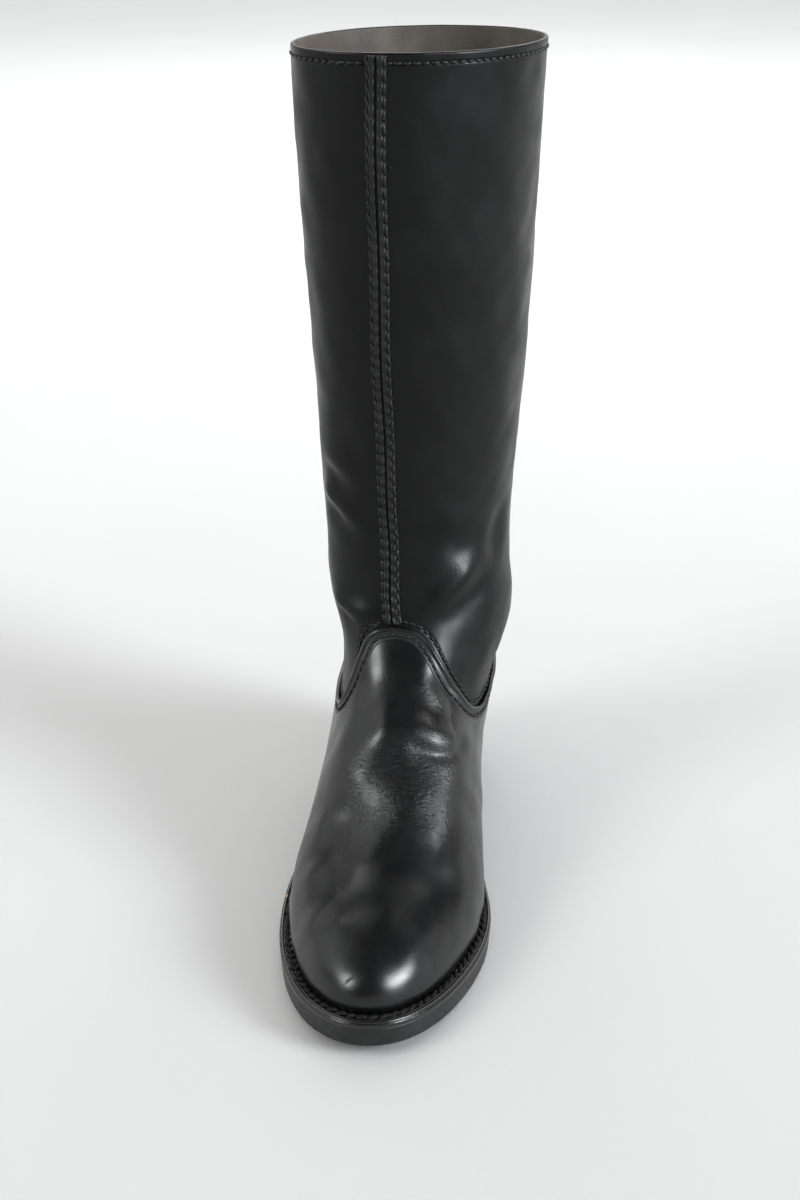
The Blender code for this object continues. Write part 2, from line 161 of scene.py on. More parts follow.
def frontPoint(level):
    below = shinAlong[0] * level / last["ankleLevel"]
    above = spline(shinTable["level"], shinAlong, level)
    along = np.where(level < last["ankleLevel"], below, above)
    return spline(frontAlong, frontLineY, along), spline(frontAlong, frontLineZ, along)


def toeShare(y):
    return np.clip((last["toeY"] + last["toeRound"] - y) / last["toeRound"], 0.0, 1.0)


def footRise(y, z):
    return np.maximum((z - featherHeight(y)) / footAt("ridge", y), 0.0)


# outside of the upper: turn 0 at the heel, 0.25 outer side, 0.5 front, 0.75 inner side;
# level 0 at the sole, 10 at the ankle, 16 at the collar
def surface(turn, level):
    turn, level = np.broadcast_arrays(np.asarray(turn, float), np.asarray(level, float))
    forward = (1.0 - np.cos(2.0 * np.pi * turn)) / 2.0
    outer = np.mod(turn, 1.0) < 0.5
    frontY, frontZ = frontPoint(level)
    backY = girthAt("backY", level)
    backZ = girthAt("backZ", level)
    y = backY + (frontY - backY) * forward

    heelY = girthTable["backY"][0]
    featherY = heelY + (last["toeY"] - heelY) * forward
    chord = last["featherSeat"] + (featherHeight(last["toeY"]) - last["featherSeat"]) * forward
    sag = (featherHeight(featherY) - chord) * np.clip(1.0 - level / last["sagLevel"], 0.0, 1.0) ** 2
    z = backZ + (frontZ - backZ) * forward + sag

    power = footAt("roundness", y)
    rise = footRise(y, z)
    endPower = footAt("roundness", frontY)
    endFill = toeShare(frontY) ** endPower + footRise(frontY, frontZ) ** endPower
    fill = (toeShare(y) ** power + rise ** power) / endFill
    section = np.clip(1.0 - fill, 0.0, 1.0) ** (1.0 / power)
    heel = np.clip((backY - y) / last["heelRound"], 0.0, 1.0)
    section = section * np.sqrt(1.0 - (1.0 - heel) ** 2)
    swell = np.where(outer, footAt("lateralSwell", y), footAt("medialSwell", y))
    reach = np.where(outer, footAt("lateral", y), footAt("medial", y))
    footWidth = (reach + swell * np.sin(np.pi * np.clip(rise / last["swellTop"], 0.0, 1.0))) * section

    oval = np.where(outer, girthAt("lateral", level), girthAt("medial", level))
    endShare = np.abs(2.0 * forward - 1.0)
    legWidth = oval * (1.0 - endShare ** last["legRoundness"]) ** (1.0 / last["legRoundness"])
    turned = -np.tan(np.radians(girthAt("turn", level))) * (forward - 0.5) * (backY - frontY)

    leg = ease(np.interp(level, girthTable["level"], girthTable["leg"]))
    centre = footAt("centre", y) * (1.0 - leg) + turned * leg
    width = footWidth * (1.0 - leg) + legWidth * leg
    x = centre + np.where(outer, -width, width)
    return np.stack([x, y, z], axis=-1)


def unit(vectors):
    return vectors / np.linalg.norm(vectors, axis=-1, keepdims=True)


def lengthAlong(points):
    return np.concatenate([[0.0], np.cumsum(np.linalg.norm(np.diff(points, axis=0), axis=1))])


def slopes(turn, level):
    step = last["slopeStep"]
    roundIt = surface(turn + step, level) - surface(turn - step, level)
    above = np.minimum(level + step, last["collarLevel"])
    below = np.maximum(level - step, 0.0)
    return roundIt, surface(turn, above) - surface(turn, below)


def outward(turn, level):
    return unit(np.cross(*slopes(turn, level)))


# the vamp's scalloped top edge, as a level for each turn
def topline(turn):
    near = np.minimum(np.mod(turn, 1.0), 1.0 - np.mod(turn, 1.0))
    outer = spline(edgeTable["turn"], edgeTable["lateral"], near)
    inner = spline(edgeTable["turn"], edgeTable["medial"], near)
    return np.where(np.mod(turn, 1.0) <= 0.5, outer, inner)


# how much level one mm takes, measured square to the top edge
def edgePerMm(turn):
    step = last["slopeStep"]
    edge = topline(turn)
    roundIt, upIt = slopes(turn, edge)
    roundSpeed = np.linalg.norm(roundIt, axis=-1) / (2.0 * step)
    upSpeed = np.linalg.norm(upIt, axis=-1) / (2.0 * step)
    lean = (topline(turn + step) - topline(turn - step)) / (2.0 * step)
    return np.hypot(1.0, upSpeed * lean / roundSpeed) / upSpeed


# Folds and bulges of the leather: path in (turn, level), then width and height in mm;
# a trough has a height below 0, left and right are as seen from the front
folds = [
    ("vampSwell", [(0.425, 6.3), (0.50, 5.9), (0.61, 5.5)], 20.0, 5.5),
    ("toeBoxFlat", [(0.405, 3.8), (0.485, 3.5), (0.58, 3.4)], 24.0, -4.5),
    ("centreDent", [(0.50, 5.6), (0.515, 5.5), (0.55, 5.4)], 8.0, -3.5),
    ("leftStreak", [(0.485, 6.9), (0.48, 6.0)], 3.5, 1.8),
    ("leftLink", [(0.47, 6.1), (0.465, 5.4), (0.43, 4.8)], 4.5, 1.0),
    ("leftCrest", [(0.43, 5.2), (0.46, 5.0), (0.49, 4.9)], 10.0, 3.5),
    ("leftTrough", [(0.43, 6.2), (0.415, 5.2)], 4.5, -2.0),
    ("leftHollow", [(0.455, 4.6), (0.425, 4.2), (0.455, 3.2)], 9.0, -3.5),
    ("leftLowSwell", [(0.425, 5.1), (0.425, 4.4)], 5.5, 1.5),
    ("outerRidge", [(0.44, 6.1), (0.40, 4.9)], 7.0, 4.5),
    ("rightCrest", [(0.505, 6.0), (0.53, 6.3), (0.565, 5.9), (0.60, 5.7), (0.65, 5.8)], 7.5, 3.5),
    ("rightCrease", [(0.525, 6.0), (0.56, 5.65), (0.635, 5.4)], 3.0, -2.2),
    ("rightSmallCrease", [(0.54, 6.3), (0.57, 5.9), (0.59, 5.9)], 2.0, -0.5),
    ("rightShoulder", [(0.565, 5.2), (0.61, 5.0), (0.58, 4.3), (0.56, 4.0)], 12.0, 3.5),
    ("rightThinCrease", [(0.588, 3.7), (0.578, 3.1)], 1.5, -0.25),
    ("rightStreak", [(0.55, 7.6), (0.57, 7.0), (0.60, 6.5)], 5.0, 1.5),
    ("rightStreakTrough", [(0.575, 7.4), (0.615, 6.9)], 4.0, -2.0),
    ("centreSwell", [(0.50, 4.7), (0.50, 4.0), (0.51, 3.1)], 12.0, 1.5),
    ("innerAnkleRidge", [(0.635, 9.9), (0.60, 9.5), (0.553, 8.9)], 5.0, 2.5),
    ("innerAnkleTrough", [(0.655, 9.4), (0.62, 9.1), (0.58, 8.8)], 5.0, -1.5),
    ("innerAnkleBulge", [(0.715, 9.4), (0.69, 9.2)], 10.0, 2.0),
    ("innerShaftTrough", [(0.72, 10.8), (0.69, 10.2)], 6.0, -3.0),
    ("shinBulge", [(0.57, 9.8), (0.605, 9.9), (0.635, 9.9)], 11.0, 3.5),
    ("shinTrough", [(0.53, 10.5), (0.595, 10.4), (0.64, 10.4)], 8.0, -2.5),
    ("shinUpperBulge", [(0.575, 10.9), (0.625, 10.8)], 9.0, 2.0),
    ("outerShaftRidge", [(0.36, 11.9), (0.40, 11.8), (0.435, 11.6)], 5.5, 2.0),
    ("outerShaftTrough", [(0.36, 11.6), (0.425, 11.4)], 5.0, -2.0),
    ("outerShaftFold", [(0.36, 11.4), (0.40, 11.1), (0.44, 10.8)], 4.5, 2.5),
    ("outerShaftDent", [(0.365, 11.0), (0.43, 10.6)], 5.0, -2.5),
    ("outerAnkleRidge", [(0.37, 9.2), (0.415, 8.9), (0.46, 8.9)], 4.0, 2.5),
    ("outerAnkleTrough", [(0.375, 8.8), (0.41, 8.5)], 4.0, -2.0),
    ("heelFold", [(0.05, 9.9), (0.0, 9.8), (-0.05, 9.9)], 7.0, -2.0),
    ("heelFoldCrest", [(0.06, 10.4), (-0.06, 10.3)], 9.0, 1.5),
]


foldStep = dict(spacing=0.7, fewest=5, bellArea=2.507)  # spacing in widths; area under a bell of width 1


# even steps along a fold's curve, with the length each stands for
def foldSteps(path, width):
    path = np.array(path)
    at = lengthAlong(surface(*path.T))
    count = max(foldStep["fewest"], int(np.ceil(at[-1] / (foldStep["spacing"] * width)))) + 1
    along = np.linspace(0.0, at[-1], count)
    share = np.full(count, at[-1] / (count - 1))
    share[[0, -1]] *= 0.5
    return surface(spline(at, path[:, 0], along), spline(at, path[:, 1], along)), share


# folds swell and taper softly along their curves
def foldHeight(points):
    flat = points.reshape(-1, 3)
    height = np.zeros(len(flat))
    for name, path, width, depth in folds:
        steps, share = foldSteps(path, width)
        for step, length in zip(steps, share):
            gap = ((flat - step) ** 2).sum(axis=1)
            height += depth * length / (foldStep["bellArea"] * width) * np.exp(-gap / (2.0 * width ** 2))
    return height.reshape(points.shape[:-1])


# slow unevenness of hand-lasted leather
unevenness = dict(seed=7, waves=26, shortest=11.0, longest=34.0, phaseMost=6.28, height=0.035)


def waveHeight(points):
    dice = np.random.default_rng(unevenness["seed"])
    height = np.zeros(points.shape[:-1])
    for i in range(unevenness["waves"]):
        heading = unit(dice.normal(size=3))
        length = dice.uniform(unevenness["shortest"], unevenness["longest"])
        phase = dice.uniform(0.0, unevenness["phaseMost"])
        height += unevenness["height"] * np.sin(points @ heading * 2.0 * np.pi / length + phase)
    return height


# Mesh helpers
def addMesh(name, points, faces, materials, solid=None, inner=None):
    mesh = bpy.data.meshes.new(name)
    mesh.from_pydata(((np.asarray(points) - last["middle"]) * mm).tolist(), [], faces)
    for material in materials:
        mesh.materials.append(material)
    if inner is not None:
        mesh.polygons.foreach_set("material_index", np.asarray(inner, np.int32))
    mesh.shade_smooth()
    mesh.update()
    piece = bpy.data.objects.new(name, mesh)
    bpy.context.scene.collection.objects.link(piece)
    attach(piece, "root")
    if solid:
        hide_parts(solid)
    print(name, len(faces), "faces")
    return piece


def gridFaces(rows, columns, closeRows, closeColumns):
    r, c = np.meshgrid(np.arange(rows if closeRows else rows - 1),
                       np.arange(columns if closeColumns else columns - 1), indexing="ij")
    r2 = (r + 1) % rows
    c2 = (c + 1) % columns
    corners = [r * columns + c, r * columns + c2, r2 * columns + c2, r2 * columns + c]
    return np.stack(corners, axis=-1).reshape(-1, 4).tolist()


# a tube with one flat face at each end
def tubeFaces(rows, columns):
    faces = gridFaces(rows, columns, False, True)
    faces.append(list(range(columns))[::-1])
    faces.append(list(range((rows - 1) * columns, rows * columns)))
    return faces


# strips across an outline that starts at the heel
def capFaces(start, columns, turnedOver):
    half = columns // 2
    faces = [(start, start + 1, start + columns - 1)]
    for c in range(1, half - 1):
        faces.append((start + c, start + c + 1, start + columns - c - 1, start + columns - c))
    faces.append((start + half - 1, start + half, start + half + 1))
    return [face[::-1] for face in faces] if turnedOver else faces


def setWeight(piece, name, values):
    layer = piece.data.attributes.new(name, "FLOAT", "POINT")
    layer.data.foreach_set("value", np.asarray(values, np.float32).ravel())


# Finishes
def newMaterial(name):
    material = bpy.data.materials.new(name)
    material.use_nodes = True
    return material, material.node_tree, material.node_tree.nodes["Principled BSDF"]


def node(tree, kind, **values):
    made = tree.nodes.new(kind)
    for key, value in values.items():
        if key in made.inputs:
            made.inputs[key].default_value = value
        else:
            setattr(made, key, value)
    return made


def mapped(tree, place, scale):
    mapping = node(tree, "ShaderNodeMapping", Scale=scale)
    tree.links.new(place.outputs["Object"], mapping.inputs["Vector"])
    return mapping.outputs["Vector"]


def ranged(tree, value, low, high, toLow, toHigh):
    made = node(tree, "ShaderNodeMapRange", interpolation_type="SMOOTHSTEP")
    for name, number in (("From Min", low), ("From Max", high), ("To Min", toLow), ("To Max", toHigh)):
        made.inputs[name].default_value = number
    tree.links.new(value, made.inputs["Value"])
    return made.outputs["Result"]


def maths(tree, operation, first, second):
    made = node(tree, "ShaderNodeMath", operation=operation)
    for socket, value in zip(made.inputs, (first, second)):
        if isinstance(value, (int, float)):
            socket.default_value = value
        else:
            tree.links.new(value, socket)
    return made.outputs["Value"]


def bumped(tree, height, strength, distance, under=None):
    made = node(tree, "ShaderNodeBump", Strength=strength, Distance=distance)
    tree.links.new(height, made.inputs["Height"])
    if under is not None:
        tree.links.new(under, made.inputs["Normal"])
    return made.outputs["Normal"]


def mixedColour(tree, share, first, second):
    made = node(tree, "ShaderNodeMix", data_type="RGBA")
    colours = [socket for socket in made.inputs if socket.type == "RGBA"]
    for socket, value in zip(colours, (first, second)):
        if isinstance(value, tuple):
            socket.default_value = (*value, 1.0)
        else:
            tree.links.new(value, socket)
    tree.links.new(share, made.inputs["Factor"])
    return [socket for socket in made.outputs if socket.type == "RGBA"][0]


# a slit in the finish, 1 along its middle and 0 at its rim; lift is the leather's height over the last
def slit(tree, place, at, heading, reach, width, lift):
    normal = outward(*np.array(at))
    along = unit(np.array(heading) - normal * (normal @ np.array(heading)))
    shift = node(tree, "ShaderNodeVectorMath", operation="SUBTRACT")
    tree.links.new(place.outputs["Object"], shift.inputs[0])
    shift.inputs[1].default_value = tuple((surface(*at) + normal * lift - last["middle"]) * mm)
    squares = []
    for axis, size in ((along, reach), (np.cross(normal, along), width)):
        share = node(tree, "ShaderNodeVectorMath", operation="DOT_PRODUCT")
        tree.links.new(shift.outputs["Vector"], share.inputs[0])
        share.inputs[1].default_value = tuple(axis / (size * mm))
        squares.append(maths(tree, "MULTIPLY", share.outputs["Value"], share.outputs["Value"]))
    gap = maths(tree, "SQRT", maths(tree, "ADD", *squares), 0.0)
    return maths(tree, "SUBTRACT", 1.0, gap)


vampFinish = dict(
    colour=(0.0014, 0.0015, 0.0017), worn=(0.0030, 0.0032, 0.0035), rough=(0.23, 0.35),
    grain=1500.0, grainDepth=0.00009, wrinkle=(300.0, 900.0, 900.0), wrinkleDepth=0.00024,
    coat=0.10, specular=0.40)
shaftFinish = dict(
    colour=(0.0015, 0.0016, 0.0018), worn=(0.0032, 0.0034, 0.0036), rough=(0.32, 0.46),
    grain=1300.0, grainDepth=0.00008, wrinkle=(700.0, 700.0, 420.0), wrinkleDepth=0.00014,
    coat=0.03, specular=0.18)
polish = dict(
    ridgeRange=(0.15, 0.85), glossRange=(0.3, 0.72), wornRange=(0.42, 0.80),
    cells=0.7, pores=0.5, grainBump=0.55, wrinkleBump=0.75, wrinkleRough=0.05, wornMost=0.8,
    # the band's colour is painted shade in the sunk strip under the vamp's top edge
    bandShadeColour=(0.0015, 0.0015, 0.0016), bandRough=0.18, coatRough=0.16)
dust = dict(scale=165.0, size=(0.020, 0.034), few=(0.80, 0.86), most=0.5, colour=(0.20, 0.20, 0.195))
nick = dict(at=(0.4820, 0.58), heading=(4.3, 1.5, 2.8), reach=2.3, width=0.55, lift=2.15)
nickLook = dict(
    lip=(-0.8, 0.0), lipBump=0.5, lipDepth=0.00008, sunk=(0.05, 0.6), sunkDepth=0.0004,
    # the core's colour is painted shade in the sunk cut
    shadedCore=(0.02, 0.25), colour=(0.0008, 0.0008, 0.0008), rough=0.6)


def leather(name, finish, marks=None):
    material, tree, shader = newMaterial(name)
    place = tree.nodes.new("ShaderNodeTexCoord")
    grain = node(tree, "ShaderNodeTexVoronoi", Scale=finish["grain"], feature="F1", Randomness=0.9)
    pores = node(tree, "ShaderNodeTexNoise", Scale=2600.0, Detail=3.0)
    tree.links.new(place.outputs["Object"], grain.inputs["Vector"])
    tree.links.new(place.outputs["Object"], pores.inputs["Vector"])
    wrinkle = node(tree, "ShaderNodeTexNoise", Scale=1.0, Detail=5.0, Roughness=0.62, Distortion=0.9)
    tree.links.new(mapped(tree, place, finish["wrinkle"]), wrinkle.inputs["Vector"])
    flex = node(tree, "ShaderNodeAttribute", attribute_name="flex")
    patch = node(tree, "ShaderNodeTexNoise", Scale=38.0, Detail=4.0, Roughness=0.55)
    tree.links.new(place.outputs["Object"], patch.inputs["Vector"])

    ridges = ranged(tree, wrinkle.outputs["Fac"], *polish["ridgeRange"], 0.0, 1.0)
    ridges = maths(tree, "MULTIPLY", ridges, flex.outputs["Fac"])
    cells = maths(tree, "MULTIPLY", grain.outputs["Distance"], polish["cells"])
    holes = maths(tree, "MULTIPLY", pores.outputs["Fac"], polish["pores"])
    cells = maths(tree, "ADD", cells, holes)
    normal = bumped(tree, cells, polish["grainBump"], finish["grainDepth"])
    normal = bumped(tree, ridges, polish["wrinkleBump"], finish["wrinkleDepth"], normal)

    gloss = ranged(tree, patch.outputs["Fac"], *polish["glossRange"], *finish["rough"])
    gloss = maths(tree, "ADD", gloss, maths(tree, "MULTIPLY", ridges, polish["wrinkleRough"]))
    worn = ranged(tree, patch.outputs["Fac"], *polish["wornRange"], 0.0, polish["wornMost"])
    colour = mixedColour(tree, worn, finish["colour"], finish["worn"])

    # the sunk strip under the top edge is dull, and darkened with painted shade
    shadedBand = node(tree, "ShaderNodeAttribute", attribute_name="shadedBand").outputs["Fac"]
    colour = mixedColour(tree, shadedBand, colour, polish["bandShadeColour"])
    gloss = maths(tree, "ADD", gloss, maths(tree, "MULTIPLY", shadedBand, polish["bandRough"]))

    # specks of dust
    specks = node(tree, "ShaderNodeTexVoronoi", Scale=dust["scale"], feature="F1", Randomness=1.0)
    tree.links.new(place.outputs["Object"], specks.inputs["Vector"])
    fleck = ranged(tree, specks.outputs["Distance"], *dust["size"], 1.0, 0.0)
    tones = node(tree, "ShaderNodeSeparateColor")
    tree.links.new(specks.outputs["Color"], tones.inputs["Color"])
    few = ranged(tree, tones.outputs["Red"], *dust["few"], 0.0, dust["most"])
    fleck = maths(tree, "MULTIPLY", fleck, few)
    colour = mixedColour(tree, fleck, colour, dust["colour"])

    if marks:
        cut = slit(tree, place, **marks)
        lip = ranged(tree, cut, *nickLook["lip"], 0.0, 1.0)
        normal = bumped(tree, lip, nickLook["lipBump"], nickLook["lipDepth"], normal)
        sunk = ranged(tree, cut, *nickLook["sunk"], 0.0, -1.0)
        normal = bumped(tree, sunk, 1.0, nickLook["sunkDepth"], normal)
        # the slit's core is darkened with painted shade in the cut, and made rougher
        shadedCore = ranged(tree, cut, *nickLook["shadedCore"], 0.0, 1.0)
        colour = mixedColour(tree, shadedCore, colour, nickLook["colour"])
        gloss = maths(tree, "ADD", gloss, maths(tree, "MULTIPLY", shadedCore, nickLook["rough"]))

    tree.links.new(colour, shader.inputs["Base Color"])
    tree.links.new(gloss, shader.inputs["Roughness"])
    tree.links.new(normal, shader.inputs["Normal"])
    shader.inputs["Coat Weight"].default_value = finish["coat"]
    shader.inputs["Coat Roughness"].default_value = polish["coatRough"]
    shader.inputs["Specular IOR Level"].default_value = finish["specular"]
    return material


plain = dict(wornRange=(0.35, 0.75), glossRange=(0.3, 0.7), bump=0.6, scuffCore=0.5)


# scuff is a bare spot: its place and size in mm, and its colour
def plainFinish(name, colour, worn, rough, grain, depth, specular=0.3, patchScale=60.0,
                stretch=(1.0, 1.0, 1.0), scuff=None):
    material, tree, shader = newMaterial(name)
    place = tree.nodes.new("ShaderNodeTexCoord")
    fine = node(tree, "ShaderNodeTexNoise", Scale=grain, Detail=5.0, Roughness=0.65)
    tree.links.new(mapped(tree, place, stretch), fine.inputs["Vector"])
    patch = node(tree, "ShaderNodeTexNoise", Scale=patchScale, Detail=4.0)
    tree.links.new(place.outputs["Object"], patch.inputs["Vector"])
    share = ranged(tree, patch.outputs["Fac"], *plain["wornRange"], 0.0, 1.0)
    shade = mixedColour(tree, share, colour, worn)
    if scuff:
        near = node(tree, "ShaderNodeVectorMath", operation="DISTANCE")
        tree.links.new(place.outputs["Object"], near.inputs[0])
        near.inputs[1].default_value = tuple((np.array(scuff["at"]) - last["middle"]) * mm)
        size = scuff["size"] * mm
        bare = ranged(tree, near.outputs["Value"], plain["scuffCore"] * size, size, 1.0, 0.0)
        shade = mixedColour(tree, bare, shade, scuff["colour"])
    gloss = ranged(tree, fine.outputs["Fac"], *plain["glossRange"], *rough)
    tree.links.new(shade, shader.inputs["Base Color"])
    tree.links.new(gloss, shader.inputs["Roughness"])
    tree.links.new(bumped(tree, fine.outputs["Fac"], plain["bump"], depth), shader.inputs["Normal"])
    shader.inputs["Specular IOR Level"].default_value = specular
    return material


vampLeather = leather("vampLeather", vampFinish, nick)
shaftLeather = leather("shaftLeather", shaftFinish)
seamLeather = plainFinish(
    "seamLeather", colour=(0.0034, 0.0035, 0.0037), worn=(0.008, 0.008, 0.0083),
    rough=(0.32, 0.55), grain=900.0, depth=0.00022)
liningLeather = plainFinish(
    "liningLeather", colour=(0.050, 0.043, 0.036), worn=(0.075, 0.064, 0.054),
    rough=(0.55, 0.75), grain=700.0, depth=0.00020)
threadFinish = plainFinish(
    "waxedThread", colour=(0.0030, 0.0030, 0.0031), worn=(0.007, 0.007, 0.0073),
    rough=(0.36, 0.6), grain=2400.0, depth=0.00016)
weltLeather = plainFinish(
    "weltLeather", colour=(0.0040, 0.0040, 0.0040), worn=(0.008, 0.008, 0.0078),
    rough=(0.14, 0.32), grain=800.0, depth=0.00006, specular=0.5,
    scuff=dict(at=(-47.9, -52.9, 12.8), size=1.5, colour=(0.22, 0.11, 0.04)))
weltThread = plainFinish(
    "weltThread", colour=(0.0020, 0.0019, 0.0018), worn=(0.0045, 0.0043, 0.004),
    rough=(0.55, 0.8), grain=1800.0, depth=0.0002, specular=0.2)
soleEdge = plainFinish(
    "soleEdge", colour=(0.0065, 0.0066, 0.0068), worn=(0.013, 0.013, 0.0133),
    rough=(0.34, 0.54), grain=650.0, depth=0.00012)
heelStack = plainFinish(
    "heelStack", colour=(0.0055, 0.0054, 0.0052), worn=(0.012, 0.0115, 0.011),
    rough=(0.34, 0.58), grain=520.0, depth=0.00022, stretch=(1.0, 1.0, 5.0))
heelRubber = plainFinish(
    "heelRubber", colour=(0.0075, 0.0075, 0.0075), worn=(0.015, 0.015, 0.015),
    rough=(0.62, 0.8), grain=480.0, depth=0.00030)
insoleLeather = plainFinish(
    "insoleLeather", colour=(0.24, 0.155, 0.090), worn=(0.32, 0.215, 0.13),
    rough=(0.5, 0.7), grain=420.0, depth=0.00020)
print("finishes made")


# Vamp: the foot's outer leather, with a turned lip and a sunk strip for the stitches
vamp = dict(
    columns=440, bodyRows=130, edgeRows=34, rimRows=6, innerRows=44, crowd=0.35,
    clear=0.45, wall=1.7, edgeBand=9.0, lip=0.5, lipAt=0.7, lipWidth=0.65, rimReach=0.45,
    strip=(1.7, 6.1), stripSoft=0.4, stripDip=0.35, stitchAt=3.9, dip=0.35, dipWidth=0.6,
    farDown=99.0, tuck=0.9, tuckHeight=2.4)


# columns round the boot, closer together in front
def crowdedTurns(columns, crowd):
    share = np.arange(columns) / columns
    return share + crowd * np.sin(2.0 * np.pi * share) / (2.0 * np.pi)


# 1 in the sunk strip, 0 outside it
def stripShare(distance):
    soft = vamp["stripSoft"]
    starts, ends = [ease((distance - edge + soft) / (2.0 * soft)) for edge in vamp["strip"]]
    return starts * (1.0 - ends)


# height of the vamp's outside over the upper, at a distance below the top edge
def vampOut(distance):
    out = vamp["clear"] + vamp["wall"] + vamp["lip"] * bell(distance - vamp["lipAt"], vamp["lipWidth"])
    out = out - vamp["stripDip"] * stripShare(distance)
    return out - vamp["dip"] * bell(distance - vamp["stitchAt"], vamp["dipWidth"])


def leatherPoints(turn, level, out):
    base = surface(turn, level)
    height = foldHeight(base) + waveHeight(base)
    return base + outward(turn, level) * (out + height)[..., None]


def buildVamp():
    turns = crowdedTurns(vamp["columns"], vamp["crowd"])
    edge = topline(turns)
    perMm = edgePerMm(turns)
    body = np.linspace(0.0, 1.0, vamp["bodyRows"])[:, None] * (edge - vamp["edgeBand"] * perMm)
    away = np.linspace(vamp["edgeBand"], 0.0, vamp["edgeRows"] + 1)[1:, None]
    levels = [body, edge - away * perMm]
    outs = [np.full(body.shape, vampOut(vamp["farDown"])),
            vampOut(np.broadcast_to(away, (len(away), len(turns))))]
    angle = np.linspace(0.0, np.pi, vamp["rimRows"])[1:-1, None]
    thick = vampOut(0.0) - vamp["clear"]
    levels.append(edge + vamp["rimReach"] * np.sin(angle) * perMm)
    rim = vamp["clear"] + thick * (1.0 + np.cos(angle)) / 2.0
    outs.append(np.broadcast_to(rim, (len(angle), len(turns))))
    down = np.linspace(1.0, 0.0, vamp["innerRows"])[:, None] * edge
    levels.append(down)
    outs.append(np.full(down.shape, vamp["clear"]))
    level = np.vstack(levels)
    out = np.vstack(outs)
    turn = np.broadcast_to(turns, level.shape)
    outerRows = vamp["bodyRows"] + vamp["edgeRows"]
    base = surface(turn, level)
    above = base[..., 2] - featherHeight(base[..., 1])
    out[:outerRows] -= (vamp["tuck"] * np.exp(-above / vamp["tuckHeight"]))[:outerRows]
    points = leatherPoints(turn, level, out)
    for row in (0, -1):
        points[row, :, 2] = featherHeight(points[row, :, 1])
    rows, columns = level.shape
    piece = addMesh("vamp_leather", points.reshape(-1, 3), gridFaces(rows, columns, True, True),
                    [vampLeather], "vamp")
    setWeight(piece, "flex", flexWeight(turn, level))
    # the strip's weight places painted shade and dullness in the finish
    setWeight(piece, "shadedBand", stripShare((edge - level) / perMm))


# where the leather wrinkles, over the flex of the foot and the ankle: place, size in mm, amount
flexZones = [
    ((0.46, 5.0), 17.0, 1.0), ((0.57, 5.5), 16.0, 1.0), ((0.55, 4.4), 14.0, 0.8),
    ((0.46, 4.0), 13.0, 0.7), ((0.57, 7.0), 9.0, 0.7), ((0.46, 6.6), 8.0, 0.6),
    ((0.60, 9.6), 14.0, 0.6), ((0.42, 8.9), 13.0, 0.6), ((0.42, 11.0), 16.0, 0.5),
    ((0.70, 10.2), 16.0, 0.6), ((0.30, 6.5), 14.0, 0.5)]
flexLeast = 0.06


def flexWeight(turn, level):
    points = surface(turn, level)
    weight = np.full(turn.shape, flexLeast)
    for at, size, amount in flexZones:
        weight += amount * bell(np.linalg.norm(points - surface(*at), axis=-1), size)
    return np.clip(weight, 0.0, 1.0)


# Upper: one hollow wall, foot and shaft, with a rolled collar and a lining
upper = dict(
    columns=330, hiddenRows=44, edgeRows=32, shaftRows=140, collarRows=16, rimRows=7, innerRows=40,
    innerCrowd=1.1, wall=2.0, below=5.0, above=8.0, collarBand=7.0, rimRise=1.0,
    stitchAt=3.1, collarStitchAt=4.2, dip=0.4, dipWidth=0.6)
collarMm = 1.0 / (shinTable["z"][-1] - shinTable["z"][-2])  # how much level one mm takes at the collar


def buildUpper():
    turns = crowdedTurns(upper["columns"], vamp["crowd"])
    edge = topline(turns)
    perMm = edgePerMm(turns)
    collar = last["collarLevel"]
    low = np.linspace(0.0, 1.0, upper["hiddenRows"])[:, None] * (edge - upper["below"] * perMm)
    away = np.linspace(-upper["below"], upper["above"], upper["edgeRows"] + 1)[1:, None]
    start = edge + upper["above"] * perMm
    end = collar - upper["collarBand"] * collarMm
    shaft = start + np.linspace(0.0, 1.0, upper["shaftRows"] + 1)[1:, None] * (end - start)
    drop = np.linspace(upper["collarBand"], upper["rimRise"], upper["collarRows"] + 1)[1:, None]
    collarLevels = np.broadcast_to(collar - drop * collarMm, (len(drop), len(turns)))
    angle = np.linspace(0.0, np.pi, upper["rimRows"])[1:-1, None]
    rimLevels = collar - upper["rimRise"] * (1.0 - np.sin(angle)) * collarMm
    rim = np.broadcast_to(rimLevels, (len(angle), len(turns)))
    share = np.linspace(1.0, 0.0, upper["innerRows"])[:, None] ** upper["innerCrowd"]
    inside = np.broadcast_to(share * (collar - upper["rimRise"] * collarMm), (len(share), len(turns)))
    level = np.vstack([low, edge + away * perMm, shaft, collarLevels, rim, inside])
    turn = np.broadcast_to(turns, level.shape)
    dips = upper["dip"] * bell(away - upper["stitchAt"], upper["dipWidth"])
    collarDips = upper["dip"] * bell(drop - upper["collarStitchAt"], upper["dipWidth"])
    wide = np.ones(len(turns))
    rimOut = -upper["wall"] * (1.0 - np.cos(angle)) / 2.0 * wide
    out = np.vstack([np.zeros(low.shape), -dips * wide, np.zeros(shaft.shape), -collarDips * wide,
                     rimOut, np.full(inside.shape, -upper["wall"])])
    points = leatherPoints(turn, level, out)
    for row in (0, -1):
        points[row, :, 2] = featherHeight(points[row, :, 1])
    rows, columns = level.shape
    faces = gridFaces(rows, columns, True, True)
    lined = np.arange(len(faces)) // columns >= rows - upper["innerRows"] - 1
    piece = addMesh("upper_leather", points.reshape(-1, 3), faces, [shaftLeather, liningLeather],
                    "upper", lined)
    setWeight(piece, "flex", flexWeight(turn, level))


